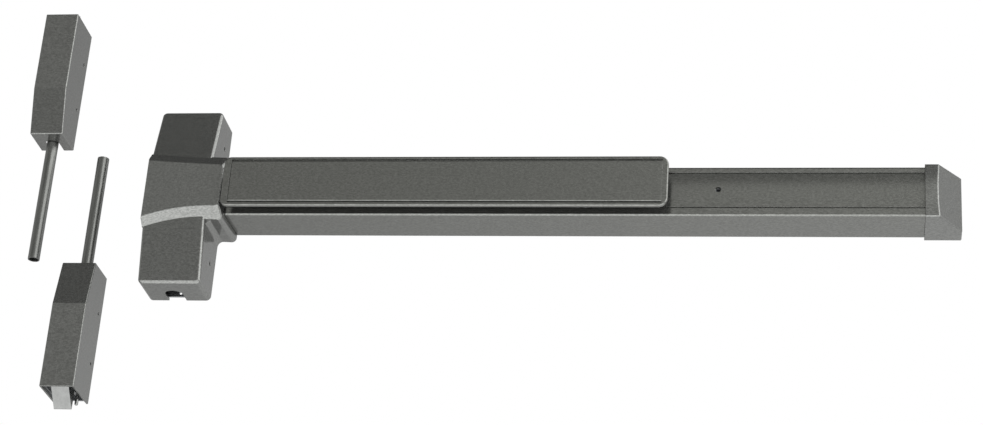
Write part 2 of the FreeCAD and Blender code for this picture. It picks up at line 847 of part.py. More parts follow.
def cap_profile(inset):
    """Plan outline of the end cap, drawn in by `inset`."""
    run = cap_right - cap_front_right
    drop = cap_depth - cap_side_depth
    slope = inset * (math.hypot(run, drop) - run) / drop
    back = inset * (math.hypot(run, drop) - drop) / run
    return [
        (cap_left - (overcut if inset else 0), 0),
        (cap_left - (overcut if inset else 0), -cap_depth + inset),
        (cap_front_right - slope, -cap_depth + inset),
        (cap_right - inset, -cap_side_depth + back),
        (cap_right - inset, 0),
    ]


def cap_side(inset):
    """Side outline of the end cap, drafted towards the door's side and crowned at the front."""
    x = cap_left - (2 * overcut if inset else 0)
    half_door = cap_height / 2 - inset
    half_front = rail_height / 2 + cap_step_front - inset
    edge = -cap_depth + cap_crown + inset
    corners = [V(x, edge, half_front), V(x, 0, half_door), V(x, 0, -half_door), V(x, edge, -half_front)]
    edges = [line(p, q) for p, q in zip(corners, corners[1:])]
    edges.append(arc(corners[-1], V(x, -cap_depth + inset, 0), corners[0]))
    return Part.Face(Part.Wire(edges)).extrude(V(cap_right + overcut - x, 0, 0))


def end_cap():
    """Cast cap over the rail's right-hand end, with a crowned front and a slanted end face."""
    half = cap_height / 2 + overcut
    outside = prism("z", cap_profile(0), -half, half).common(cap_side(0))

    def rounded(edge):
        return not at_door(edge) and not all(abs(v.X - cap_left) < 1e-6 for v in edge.Vertexes)

    outside = soften(outside, cap_edge_radius, rounded)
    inside = prism("z", cap_profile(cap_wall), -half, half).common(cap_side(cap_wall))
    mouth = box(cap_left - overcut, cap_front_right, -overcut, overcut, cap_wall - half, half - cap_wall)
    return outside.cut([inside, mouth])


def end_bracket():
    """Stepped plate that holds the rail's end to the door and grips the cap between its ears."""
    half = rail_inside - end_clear
    tongue = box(rail_end - end_tongue, rail_end, -2 * base_thick, -base_thick, -half, half)
    step = box(rail_end - base_thick / 2, rail_end + base_thick + seat_gap,
               -2 * base_thick, 0, -half, half)
    step = step.cut(box(rail_end - base_thick, rail_end + seat_gap, -base_thick, overcut, -half, half))
    foot_end = cap_right - cap_wall - seat_gap
    ear_face = cap_height / 2 - cap_wall - seat_gap - cap_draft * end_ear_reach
    foot = box(rail_end + seat_gap, foot_end, -base_thick, 0, -ear_face, ear_face)
    ears = []
    for side in (-1, 1):
        low, high = sorted((side * ear_face, side * (ear_face - ear_thick)))
        ears.append(box(rail_end + end_ear_start, foot_end - end_ear_clear,
                        -end_ear_reach, 0, low, high))
    solid = join(tongue, step, foot, *ears)
    hole_x = (rail_end + foot_end) / 2 + end_hole_shift
    cutters = foot_holes(bracket_screw_places())
    for z in (-end_hole_pitch / 2, end_hole_pitch / 2):
        cutters.append(rod("y", hole_x, z, end_hole_radius, -2 * base_thick - overcut, overcut))
    return solid.cut(cutters)


# Dogging

def hook_front():
    """Distance of the hook's front plane from the door."""
    return bar_far + 2 * overcut + hook_thick


def dogging_bracket():
    """Stepped bracket that carries the dogging spindle front and back."""
    right = dogging_x + dogging_right
    half = dogging_half_height
    front = -dogging_plate_depth
    foot = box(dogging_x - dogging_foot_left, right, -2 * base_thick, -base_thick, -half, half)
    wall = box(right - ear_thick, right, front, -base_thick, -half, half)
    plate = box(dogging_x - dogging_plate_left, right, front, front + ear_thick, -half, half)
    spindle_hole = rod("y", dogging_x, dogging_rise, dogging_spindle_radius + pin_gap,
                       -dogging_plate_depth - overcut, -dogging_plate_depth + 2 * ear_thick)
    pivot_hole = rod("y", dogging_x, dogging_rise, dogging_pivot_radius + pin_gap,
                     -2 * base_thick - overcut, 0)
    return join(foot, wall, plate).cut([spindle_hole, pivot_hole] + foot_holes(bracket_screw_places()))


def dogging_spindle():
    """Turned spindle with a hex socket behind the hole in the filler plate."""
    front = -rail_depth + rail_lip_wall + filler_thick + 2 * seat_gap
    shoulder = -hook_front() + slide_gap
    body = rod("y", dogging_x, dogging_rise, dogging_spindle_radius, front, -hook_front())
    pivot = rod("y", dogging_x, dogging_rise, dogging_pivot_radius,
                shoulder - overcut, -base_thick - seat_gap)
    socket = hexagon("y", dogging_x, dogging_rise, dogging_socket,
                     front - overcut, front + dogging_socket_depth)
    return join(body, pivot).cut(socket)


def dogging_hook():
    """Hook that holds the bar's stud back; it stands upright at rest and lies to the left when set."""
    front = -hook_front()
    back = front + hook_thick
    hub = rod("y", dogging_x, dogging_rise, hook_high, front, back)
    outline = [
        (dogging_x, dogging_rise + hook_high),
        (dogging_x - hook_tooth_end, dogging_rise + hook_high),
        (dogging_x - hook_tooth_end, dogging_rise - hook_tooth_low),
        (dogging_x - hook_tooth_start, dogging_rise - hook_tooth_low),
        (dogging_x - hook_tooth_start, dogging_rise + hook_low),
        (dogging_x, dogging_rise + hook_low),
    ]
    solid = join(hub, prism("y", outline, front, back))
    solid = solid.cut(rod("y", dogging_x, dogging_rise, dogging_pivot_radius,
                          front - overcut, back + overcut))
    solid.rotate(V(dogging_x, 0, dogging_rise), V(0, 1, 0), 90)
    return solid


# Push pad

def pad_section():
    """Outline of the pad base across the rail, before its legs."""
    h = pad_half_height
    g = face_half_height + face_groove
    f = face_half_height
    seat = -pad_face_depth + face_thick
    floor = -pad_face_depth + face_groove_depth
    return [
        (-pad_back_depth, -h), (-pad_rim_depth, -h), (-pad_rim_depth, -g), (floor, -g),
        (floor, -f), (seat, -f), (seat, f), (floor, f),
        (floor, g), (-pad_rim_depth, g), (-pad_rim_depth, h), (-pad_back_depth, h),
    ]


def pad_base():
    """Extruded base of the push pad, with two legs that hold the brackets."""
    left = pad_left + pad_left_end
    right = pad_right - pad_right_end
    solid = prism("x", pad_section(), left, right)

    def outer_front(edge):
        ends = edge.Vertexes
        on_front = all(
            abs(v.Y + pad_rim_depth) < 1e-6 and abs(abs(v.Z) - pad_half_height) < 1e-6 for v in ends
        )
        return on_front and abs(ends[0].X - ends[1].X) > overcut

    solid = soften(solid, pad_edge_radius, outer_front)
    legs = []
    for side in (-1, 1):
        low, high = sorted((side * pad_leg_height, side * (pad_leg_height - pad_leg_thick)))
        legs.append(box(left + pad_tongue, right - pad_tongue, -pad_back_depth - overcut / 2,
                        -pad_back_depth + pad_leg_reach, low, high))
    return join(solid, *legs)


def pad_face():
    """Flat face plate set into the base, running on into the right-hand end piece."""
    left = pad_left + pad_left_end + face_groove_left
    right = pad_right - face_reach_right
    plate = box(left, right, -pad_face_depth, -pad_face_depth + face_thick, -face_half_height,
                face_half_height)

    def front_edge(edge):
        return all(abs(v.Y + pad_face_depth) < 1e-6 for v in edge.Vertexes)

    return soften(plate, face_edge_radius, front_edge)


def face_pocket():
    """Cutter for the recess that the face plate and its grooves need in the right-hand end piece."""
    inner = pad_right - pad_right_end - overcut
    right = pad_right - face_reach_right
    front = -pad_face_depth - overcut
    half = face_half_height + face_groove
    seat = box(inner, right, front, -pad_face_depth + face_thick, -half, half)
    grooves = []
    for side in (-1, 1):
        low, high = sorted((side * face_half_height, side * half))
        grooves.append(box(inner, right, front, -pad_face_depth + face_groove_depth, low, high))
    return join(seat, *grooves)


def pad_end(side, corner, length):
    """Moulded end piece; side is -1 for the left one and 1 for the right one."""
    tip = pad_left if side < 0 else pad_right
    inner = tip - side * length
    low, high = sorted((tip, inner))
    solid = box(low, high, -pad_rim_depth, -pad_back_depth, -pad_half_height, pad_half_height)

    def corner_edge(edge):
        a, b = edge.Vertexes
        return abs(a.X - tip) + abs(b.X - tip) + abs(a.Z - b.Z) < 1e-6

    solid = soften(solid, corner, corner_edge)

    def rim_edge(edge):
        front = all(abs(v.Y + pad_rim_depth) < 1e-6 for v in edge.Vertexes)
        seam = all(abs(v.X - inner) < 1e-6 for v in edge.Vertexes)
        return front and not seam

    solid = soften(solid, pad_edge_radius, rim_edge)
    if side > 0:
        solid = solid.cut(face_pocket())
    low, high = sorted((inner + side * length / 2, inner - side * pad_tongue_fit))
    back = -pad_back_depth
    tongue = box(low, high, back, back + pad_tongue_thick, -pad_tongue_half, pad_tongue_half)
    return join(solid, tongue)


def pad_bracket(x):
    """Folded bracket behind the pad, with two ears that hold the pad pin inside the rail."""
    pin_x = x + crank_pad_arm * math.cos(crank_swing)
    pin_y = -crank_depth - pad_travel / 2
    width = pad_leg_height - pad_leg_thick - seat_gap / 2
    foot = box(pin_x - 2 * pad_bracket_half_length, pin_x + 2 * pad_bracket_half_length,
               -pad_back_depth, -pad_back_depth + ear_thick, -width, width)
    ears = []
    for z in (-pad_bracket_ear - ear_thick, pad_bracket_ear):
        ears.append(link("z", (pin_x, pin_y), (pin_x, -pad_back_depth + pad_bracket_half_length),
                         pad_bracket_half_length, z, z + ear_thick))
    reach = pad_bracket_ear + ear_thick
    bore = rod("z", pin_x, pin_y, link_pin_radius, -reach - overcut, reach + overcut)
    return join(foot, *ears).cut(bore)


def pad_pins():
    """Headed pins between the ears of the pad brackets."""
    reach = pad_bracket_ear + ear_thick
    pins = []
    for x in crank_x:
        pin_x = x + crank_pad_arm * math.cos(crank_swing)
        pin_y = -crank_depth - pad_travel / 2
        pin = rod("z", pin_x, pin_y, link_pin_radius, -reach - head_thick, reach)
        head = rod("z", pin_x, pin_y, link_head_radius, reach, reach + head_thick)
        pins.append(join(pin, head))
    return Part.makeCompound(pins)


# Latch sets, drawn with the open end at z = 0 and the rod going up

def latch_profile(inset, open_end):
    """Side outline of a latch cover, drawn in by `inset`, its open end at `open_end`."""
    return [
        (overcut if inset else 0, open_end),
        (-latch_depth + inset, open_end),
        (-latch_depth + inset, latch_bend),
        (-latch_depth_rod_end + inset, latch_length - inset),
        (overcut if inset else 0, latch_length - inset),
    ]


def latch_screw_places():
    """Side and height of each latch cover screw."""
    return [(side, u) for side in (-1, 1) for u in (latch_screw_near, latch_screw_far)]


def latch_cover():
    """Cast cover, open at the bolt end and towards the door, notched for the rod."""
    half = latch_width / 2
    outside = prism("x", latch_profile(0, 0), -half, half)

    def rounded(edge):
        open_end = all(abs(v.Z) < 1e-6 for v in edge.Vertexes)
        return not at_door(edge) and not open_end

    outside = soften(outside, latch_edge_radius, rounded)
    inner = half - latch_wall
    cutters = [prism("x", latch_profile(latch_wall, -overcut), -inner, inner)]
    cutters.append(rod_notch(latch_notch_radius, 0, latch_length - latch_wall - overcut,
                             latch_length + overcut))
    reach = half + overcut
    for u in (latch_screw_near, latch_screw_far):
        cutters.append(rod("x", -latch_screw_depth, u, latch_screw_head + pin_gap, -reach, reach))
    return outside.cut(cutters)


def latch_cover_screws():
    """Socket screws through the cover's sides into the latch chassis."""
    screws = []
    face = latch_width / 2 - seat_gap
    for side, u in latch_screw_places():
        outer = side * face
        inner = side * (latch_width / 2 - latch_wall)
        tip = side * (face - case_screw_length * 0.75)
        head = rod("x", -latch_screw_depth, u, latch_screw_head, min(outer, inner), max(outer, inner))
        shank = rod("x", -latch_screw_depth, u, latch_screw_shank, min(inner, tip), max(inner, tip))
        low, high = sorted((outer + side * overcut, side * (face - latch_wall * 0.6)))
        socket = hexagon("x", -latch_screw_depth, u, latch_screw_head, low, high)
        screws.append(join(head, shank).cut(socket))
    return Part.makeCompound(screws)


def flange_inside():
    """Half the space between the latch chassis flanges."""
    return latch_width / 2 - latch_wall - seat_gap - ear_thick


def latch_chassis():
    """Folded steel channel on the door, with a tab that seats the trigger's spring."""
    inside = flange_inside()
    outside = inside + ear_thick
    base = box(-outside, outside, -base_thick, 0, latch_base_start, latch_base_end)
    pieces = []
    for side in (-1, 1):
        low, high = sorted((side * inside, side * outside))
        pieces.append(box(low, high, -latch_flange_reach, 0, latch_base_start, latch_flange_end))
    tab_top = trigger_tab_start + trigger_tab_thick
    pieces.append(box(bolt_half_width + 2 * slide_gap, outside,
                      -trigger_depth - 3.0, -trigger_depth + 3.0,
                      trigger_tab_start, tab_top))
    cutters = [rod("z", trigger_x, -trigger_depth, trigger_stem_radius + pin_gap,
                   trigger_tab_start - overcut, tab_top + overcut)]
    reach = outside + overcut
    for u in (latch_screw_near, latch_screw_far):
        cutters.append(rod("x", -latch_screw_depth, u, latch_screw_shank + pin_gap, -reach, reach))
    for x in (-latch_hole_pitch_x / 2, latch_hole_pitch_x / 2):
        for u in (latch_hole_near, latch_hole_near + latch_hole_pitch_z):
            cutters.append(rod("y", x, u, latch_hole_radius, -base_thick - overcut, overcut))
    return join(base, *pieces).cut(cutters)


def bolt_guide():
    """Plate across the chassis with the bolt's window and the trigger's keyhole."""
    half = flange_inside()
    low = bolt_guide_start
    high = bolt_guide_start + guide_thick
    plate = box(-half, half, -bolt_front - guide_edge, -base_thick, low, high)
    fit = bolt_half_width + slide_gap
    window = box(-fit, fit, -bolt_front - slide_gap, -bolt_heel_back + slide_gap,
                 low - overcut, high + overcut)
    bore = trigger_radius + pin_gap
    hole = rod("z", trigger_x, -trigger_depth, bore, low - overcut, high + overcut)
    throat = box(0, trigger_x, -trigger_depth - bore, -trigger_depth + bore,
                 low - overcut, high + overcut)
    return plate.cut([window, hole, throat])


def connector_guide():
    """Plate across the chassis that guides the rod connector."""
    half = flange_inside()
    low = connector_guide_start
    high = connector_guide_start + guide_thick
    plate = box(-half, half, -rod_axis_depth * 2, -base_thick, low, high)
    return plate.cut(rod("z", 0, -rod_axis_depth, connector_radius + pin_gap,
                         low - overcut, high + overcut))


def latch_bolt():
    """Bevelled bolt with a heel and a slotted shank."""
    nose = -bolt_throw
    profile = [
        (-bolt_front, nose + bolt_front - bolt_back - bolt_nose),
        (-bolt_back - bolt_nose, nose),
        (-bolt_back, nose),
        (-bolt_back, bolt_heel_start),
        (-bolt_heel_back, bolt_heel_start),
        (-bolt_heel_back, bolt_heel_end),
        (-bolt_front, bolt_heel_end),
    ]
    body = prism("x", profile, -bolt_half_width, bolt_half_width)
    shank = rod("z", 0, -rod_axis_depth, shank_radius, bolt_heel_end - overcut, shank_end)
    slot_half = connector_pin_radius + slide_gap
    slot = link("x", (-rod_axis_depth, connector_pin_u - bolt_press), (-rod_axis_depth, connector_pin_u),
                slot_half, -shank_radius - overcut, shank_radius + overcut)
    return join(body, shank).cut(slot)


def bolt_spring():
    """Spring between the bolt's heel and the rod connector."""
    mean = shank_radius + slide_gap + bolt_spring_wire
    return coil(0, -rod_axis_depth, mean, bolt_spring_wire, bolt_heel_end, connector_start,
                bolt_spring_coils)


def rod_connector():
    """Sleeve that pulls the bolt by a cross pin and carries the rod on its spigot."""
    body = rod("z", 0, -rod_axis_depth, connector_radius, connector_start, connector_end)
    spigot = rod("z", 0, -rod_axis_depth, spigot_radius, connector_end - overcut,
                 connector_end + connector_spigot)
    bore = rod("z", 0, -rod_axis_depth, shank_radius + pin_gap, connector_start - overcut,
               connector_end - connector_floor)
    cross = rod("x", -rod_axis_depth, connector_pin_u, connector_pin_radius,
                -connector_radius - overcut, connector_radius + overcut)
    return join(body, spigot).cut([bore, cross])


def connector_pin():
    """Cross pin through the connector and the shank's slot."""
    reach = connector_radius - 2 * seat_gap
    return rod("x", -rod_axis_depth, connector_pin_u, connector_pin_radius, -reach, reach)


def trigger_pin():
    """Sprung pin beside the bolt that feels the strike."""
    head = rod("z", trigger_x, -trigger_depth, trigger_radius, -trigger_throw,
               trigger_collar_end - overcut)
    collar = rod("z", trigger_x, -trigger_depth, trigger_collar_radius,
                 bolt_guide_start + guide_thick + seat_gap, trigger_collar_end)
    stem = rod("z", trigger_x, -trigger_depth, trigger_stem_radius, trigger_collar_end - overcut,
               trigger_tab_start + trigger_tab_thick + overcut)
    solid = join(head, collar, stem)
    return soften(solid, trigger_radius * 0.6,
                  lambda e: all(abs(v.Z + trigger_throw) < 1e-6 for v in e.Vertexes))


def trigger_spring():
    """Spring round the trigger's stem."""
    mean = trigger_stem_radius + pin_gap + trigger_wire
    return coil(trigger_x, -trigger_depth, mean, trigger_wire, trigger_collar_end,
                trigger_tab_start, trigger_coils)


def vertical_rod(place):
    """Hollow rod from the connector to its free end."""
    length = abs(rod_free_z[place] - latch_tip_z[place])
    tube = rod("z", 0, -rod_axis_depth, rod_radius, connector_end, length)
    socket_end = connector_end + connector_spigot
    socket = rod("z", 0, -rod_axis_depth, spigot_radius + pin_gap, connector_end - overcut, socket_end)
    bore = rod("z", 0, -rod_axis_depth, rod_bore_radius, connector_end, length + overcut)
    return tube.cut([socket, bore])


def placed(solid, place):
    """Stand a latch piece at the top or the bottom of the door."""
    if place == "top":
        solid = solid.mirror(V(0, 0, 0), V(0, 0, 1))
    solid.translate(V(latch_x[place], 0, latch_tip_z[place]))
    return solid


latch_pieces = {
    "latch_cover": latch_cover,
    "latch_screws": latch_cover_screws,
    "latch_chassis": latch_chassis,
    "bolt_guide": bolt_guide,
    "connector_guide": connector_guide,
    "latch_bolt": latch_bolt,
    "bolt_spring": bolt_spring,
    "rod_connector": rod_connector,
    "connector_pin": connector_pin,
    "trigger_pin": trigger_pin,
    "trigger_spring": trigger_spring,
}


def all_nodes():
    """Every node by name."""
    nodes = {
        "case_cover": case_cover(),
        "case_cover_screws": case_cover_screws(),
        "case_chassis": case_chassis(),
        "top_lift_slide": lift_slide(1),
        "bottom_lift_slide": lift_slide(-1),
        "upper_lift_lever": lift_lever(1),
        "lower_lift_lever": lift_lever(-1),
        "lever_pivot_pins": lever_pins(),
        "splice_plate": splice_plate(),
        "drive_bar": drive_bar(),
        "rail_channel": rail_channel(),
        "filler_plate": filler_plate(),
        "end_cap": end_cap(),
        "end_bracket": end_bracket(),
        "crank_pivot_pins": crank_pins(),
        "bracket_screws": bracket_screws(),
        "dogging_bracket": dogging_bracket(),
        "dogging_spindle": dogging_spindle(),
        "dogging_hook": dogging_hook(),
        "pad_base": pad_base(),
        "pad_face": pad_face(),
        "pad_end_left": pad_end(-1, pad_left_radius, pad_left_end),
        "pad_end_right": pad_end(1, pad_right_radius, pad_right_end),
        "pad_pins": pad_pins(),
    }
    for side, x in zip(("left", "right"), crank_x):
        nodes["crank_bracket_" + side] = crank_bracket(x)
        nodes["bell_crank_" + side] = bell_crank(x)
        nodes["crank_spring_" + side] = crank_spring(x)
        nodes["pad_bracket_" + side] = pad_bracket(x)
    for place in ("top", "bottom"):
        nodes[place + "_rod"] = placed(vertical_rod(place), place)
        for name, make in latch_pieces.items():
            nodes[place + "_" + name] = placed(make(), place)
    return nodes


os.makedirs("parts", exist_ok=True)
for name, shape in all_nodes().items():
    shape.exportStep("parts/" + name + ".step")
    print(name, "valid" if shape.isValid() else "NOT VALID", len(shape.Solids), round(shape.Volume, 1))
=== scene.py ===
"""Looks, light and camera for the vertical rod exit device, in metres, in the CAD model's frame."""

from __future__ import annotations

import json
import logging
import math
from dataclasses import dataclass, field
from enum import Enum

import bmesh
import bpy
from mathutils import Matrix, Vector

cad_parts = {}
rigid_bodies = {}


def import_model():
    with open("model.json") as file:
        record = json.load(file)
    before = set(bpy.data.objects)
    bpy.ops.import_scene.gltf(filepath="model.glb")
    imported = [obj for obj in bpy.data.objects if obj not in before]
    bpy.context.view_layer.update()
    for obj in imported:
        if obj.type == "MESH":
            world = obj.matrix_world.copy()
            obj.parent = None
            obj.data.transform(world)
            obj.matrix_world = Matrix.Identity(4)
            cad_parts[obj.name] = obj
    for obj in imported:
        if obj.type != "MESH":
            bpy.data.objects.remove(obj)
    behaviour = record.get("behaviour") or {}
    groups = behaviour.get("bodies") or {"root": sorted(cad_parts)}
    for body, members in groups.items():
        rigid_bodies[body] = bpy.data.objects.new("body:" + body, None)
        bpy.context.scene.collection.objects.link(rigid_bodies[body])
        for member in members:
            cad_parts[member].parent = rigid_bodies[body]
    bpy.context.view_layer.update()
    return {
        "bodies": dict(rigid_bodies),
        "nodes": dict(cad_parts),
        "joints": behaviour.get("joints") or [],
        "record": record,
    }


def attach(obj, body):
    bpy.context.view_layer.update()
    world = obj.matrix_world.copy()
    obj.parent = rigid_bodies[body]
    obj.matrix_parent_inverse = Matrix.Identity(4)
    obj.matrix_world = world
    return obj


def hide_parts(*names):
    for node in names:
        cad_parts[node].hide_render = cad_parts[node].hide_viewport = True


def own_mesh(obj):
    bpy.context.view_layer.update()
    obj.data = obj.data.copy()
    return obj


log = logging.getLogger("exit_device")

MM = 0.001

# Sockets of a Mix node that is set to colour
MIX_A, MIX_B, MIX_RESULT = 6, 7, 2
# Spacing of the nodes in the editor
COLUMN, ROW = 220.0, -180.0
# Noise values over which the mottling turns from dark to plain and the roughness from low to high
MOTTLE_SPAN = (0.38, 0.62)
SCRATCH_SPAN = (0.3, 0.7)

Colour = tuple[float, float, float, float]
Inputs = dict[str | int, object]
Place = tuple[float, float]
Levels = tuple[tuple[float, float], ...]


class Slot(Enum):
    """Material slots of the record."""

    COVER = "satin_cover"
    RAIL = "satin_rail"
    ROD = "rod_steel"
    BOLT = "bolt_steel"
    PLATED = "plated_steel"
    SPRING = "spring_steel"
    SCREW = "screw_steel"


class Grain(Enum):
    """Direction that a brushed finish runs in, as the scale of its noise along X, Y and Z."""

    ALONG_X = (0.45, 1.0, 1.0)
    ALONG_Z = (1.0, 1.0, 0.05)
    NONE = (1.0, 1.0, 1.0)


def linear(code: str) -> Colour:
    """Turn an sRGB hex code into a linear colour.

    Args:
        code: Six hex digits, with or without a leading #.

    Returns:
        Linear red, green, blue and an alpha of 1.
    """
    digits = code.lstrip("#")
    channels = []
    for start in (0, 2, 4):
        value = int(digits[start:start + 2], 16) / 255
        channels.append(value / 12.92 if value <= 0.04045 else ((value + 0.055) / 1.055) ** 2.4)
    return (*channels, 1.0)


@dataclass(frozen=True)
class MetalFinish:
    """One metal and how its surface was worked.

    Attributes:
        slot: Record slot that the finish belongs to.
        colour: Colour of the metal at a plain level of light.
        dark: Colour in the low places of the mottling.
        roughness: Mean roughness.
        spread: How far the roughness strays from its mean.
        grain: Direction of the scratches.
        scratch_mm: Distance between scratches.
        depth_mm: Height of the scratches.
        mottle_mm: Size of the cloudy patches.
        edge_mm: Radius of the worn edges that catch the light.
        metal: Share of bare metal; the rest is the fine haze that scatters light.
    """

    slot: Slot
    colour: str
    dark: str
    roughness: float
    spread: float
    grain: Grain
    scratch_mm: float
    depth_mm: float
    mottle_mm: float
    edge_mm: float
    metal: float = 0.86


# Satin stainless of the cast covers: an even, slightly warm grey with a short level grain. The
# scratches, here and below, are drawn several times coarser than the real ones, which are too
# fine to show at this distance
COVER_FINISH = MetalFinish(
    Slot.COVER, colour="#878886", dark="#70716f", roughness=0.17, spread=0.04,
    grain=Grain.ALONG_X, scratch_mm=0.9, depth_mm=0.003, mottle_mm=1.3, edge_mm=1.1,
)
# The same satin on the extrusions, a shade darker, with its grain along the rail
RAIL_FINISH = MetalFinish(
    Slot.RAIL, colour="#7d7e7b", dark="#696a67", roughness=0.17, spread=0.04,
    grain=Grain.ALONG_X, scratch_mm=0.9, depth_mm=0.003, mottle_mm=1.3, edge_mm=0.4,
)
# Drawn tube: darker than the covers, with one soft light strip that runs the length of the rod
ROD_FINISH = MetalFinish(
    Slot.ROD, colour="#727371", dark="#656664", roughness=0.30, spread=0.05,
    grain=Grain.ALONG_Z, scratch_mm=0.9, depth_mm=0.006, mottle_mm=2.0, edge_mm=0.2,
)
# Ground bolt faces: smooth and even, and bright where their slope faces the light from below
BOLT_FINISH = MetalFinish(
    Slot.BOLT, colour="#838483", dark="#7b7c7b", roughness=0.22, spread=0.05,
    grain=Grain.ALONG_Z, scratch_mm=0.2, depth_mm=0.006, mottle_mm=5.0, edge_mm=0.4,
)
# Zinc-plated sheet of the parts inside: paler and bluer than the covers
PLATED_FINISH = MetalFinish(
    Slot.PLATED, colour="#8f9193", dark="#7f8183", roughness=0.30, spread=0.08,
    grain=Grain.NONE, scratch_mm=0.8, depth_mm=0.006, mottle_mm=7.0, edge_mm=0.25,
)
# Oiled spring wire: dark with a narrow highlight
SPRING_FINISH = MetalFinish(
    Slot.SPRING, colour="#6c6c6a", dark="#5c5c5a", roughness=0.25, spread=0.05,
    grain=Grain.NONE, scratch_mm=0.5, depth_mm=0.004, mottle_mm=4.0, edge_mm=0.1,
)
# Blackened socket screws: small dark dots on the cover's sides
SCREW_FINISH = MetalFinish(
    Slot.SCREW, colour="#4d4d4b", dark="#3f3f3d", roughness=0.38, spread=0.08,
    grain=Grain.NONE, scratch_mm=0.4, depth_mm=0.006, mottle_mm=2.0, edge_mm=0.2,
)

FINISHES = (
    COVER_FINISH, RAIL_FINISH, ROD_FINISH, BOLT_FINISH, PLATED_FINISH, SPRING_FINISH, SCREW_FINISH,
)


def add_node(
    tree: bpy.types.NodeTree, kind: str, place: Place, inputs: Inputs, **settings: object
) -> bpy.types.Node:
    """Add a shader node, set it up and link it.

    Args:
        tree: Tree that takes the node.
        kind: Node type name.
        place: Column and row in the editor, for a readable layout.
        inputs: By an input's name or number, its value or the output that is linked to it.
        settings: The node's own attributes.

    Returns:
        The new node.
    """
    node = tree.nodes.new(kind)
    node.location = (place[0] * COLUMN, place[1] * ROW)
    for name, value in settings.items():
        setattr(node, name, value)
    for socket, value in inputs.items():
        if isinstance(value, bpy.types.NodeSocket):
            tree.links.new(value, node.inputs[socket])
        else:
            node.inputs[socket].default_value = value
    return node


def new_piece(name: str, mesh: bmesh.types.BMesh) -> bpy.types.Object:
    """Turn a worked mesh into an object of the scene.

    Args:
        name: Name of the piece.
        mesh: The mesh, which is used up.

    Returns:
        The new object.
    """
    bmesh.ops.recalc_face_normals(mesh, faces=mesh.faces)
    data = bpy.data.meshes.new(name)
    mesh.to_mesh(data)
    mesh.free()
    piece = bpy.data.objects.new(name, data)
    bpy.context.scene.collection.objects.link(piece)
    return piece


class MetalShop:
    """Makes one material for each finish."""

    def __init__(self, finishes: tuple[MetalFinish, ...]) -> None:
        """Make the materials.

        Args:
            finishes: One finish for each slot.
        """
        self.made = {finish.slot: self.build(finish) for finish in finishes}

    def build(self, finish: MetalFinish) -> bpy.types.Material:
        """Build the node tree of a finish.

        Args:
            finish: The finish to make.

        Returns:
            The material.
        """
        material = bpy.data.materials.new(finish.slot.value)
        material.use_nodes = True
        tree = material.node_tree
        tree.nodes.clear()
        where = add_node(tree, "ShaderNodeTexCoord", (0, 1), {})
        stretch = add_node(tree, "ShaderNodeMapping", (1, 2), {
            "Vector": where.outputs["Object"], "Scale": finish.grain.value,
        })
        mottle = add_node(tree, "ShaderNodeTexNoise", (2, 0), {
            "Vector": stretch.outputs["Vector"], "Scale": 1.0 / (finish.mottle_mm * MM),
            "Detail": 4.0, "Roughness": 0.65,
        })
        scratches = add_node(tree, "ShaderNodeTexNoise", (2, 2), {
            "Vector": stretch.outputs["Vector"], "Scale": 1.0 / (finish.scratch_mm * MM),
            "Detail": 3.0, "Roughness": 0.6,
        })
        contrast = add_node(tree, "ShaderNodeMapRange", (3, 0), {
            "Value": mottle.outputs["Fac"], "From Min": MOTTLE_SPAN[0], "From Max": MOTTLE_SPAN[1],
        })
        tone = add_node(tree, "ShaderNodeMix", (4, 0), {
            "Factor": contrast.outputs["Result"],
            MIX_A: linear(finish.dark), MIX_B: linear(finish.colour),
        }, data_type="RGBA")
        rough = add_node(tree, "ShaderNodeMapRange", (3, 1), {
            "Value": scratches.outputs["Fac"],
            "From Min": SCRATCH_SPAN[0], "From Max": SCRATCH_SPAN[1],
            "To Min": finish.roughness - finish.spread, "To Max": finish.roughness + finish.spread,
        })
        edge = add_node(tree, "ShaderNodeBevel", (3, 3), {"Radius": finish.edge_mm * MM}, samples=4)
        relief = add_node(tree, "ShaderNodeBump", (4, 2), {
            "Height": scratches.outputs["Fac"], "Normal": edge.outputs["Normal"],
            "Strength": 0.6, "Distance": finish.depth_mm * MM,
        })
        metal = add_node(tree, "ShaderNodeBsdfPrincipled", (5, 1), {
            "Base Color": tone.outputs[MIX_RESULT], "Metallic": finish.metal,
            "Roughness": rough.outputs["Result"], "Normal": relief.outputs["Normal"],
        })
        add_node(tree, "ShaderNodeOutputMaterial", (6, 1), {"Surface": metal.outputs["BSDF"]})
        return material

    def coat(self, piece: bpy.types.Object, slot: Slot) -> None:
        """Give a piece its finish.

        Args:
            piece: Object to coat.
            slot: Record slot of the finish.
        """
        piece.data.materials.clear()
        piece.data.materials.append(self.made[slot])
        log.info("%s: %s", piece.name, slot.value)


@dataclass
class SubAssembly:
    """A group of CAD nodes that belong together.

    Attributes:
        name: What the group is called in the log.
        shop: The materials.
    """

    name: str
    frame: dict
    shop: MetalShop

    def slots(self) -> dict[Slot, list[str]]:
        """Name the group's nodes by finish.

        Returns:
            Names of the nodes, by the slot of their finish.
        """
        raise NotImplementedError

    def build(self) -> None:
        """Coat every node of the group."""
        log.info("building %s", self.name)
        for slot, nodes in self.slots().items():
            for node in nodes:
                self.shop.coat(self.frame["nodes"][node], slot)


@dataclass(frozen=True)
class Skirt:
    """A strip that carries the sloped front of one of the case's blocks on to the hub.

    Attributes:
        name: Name of the piece.
        start_mm: Height where the block's slope ends.
        end_mm: Height inside the hub where the skirt ends.
        climb: How far the slope comes forward for each mm of height.
    """

    name: str
    start_mm: float
    end_mm: float
    climb: float


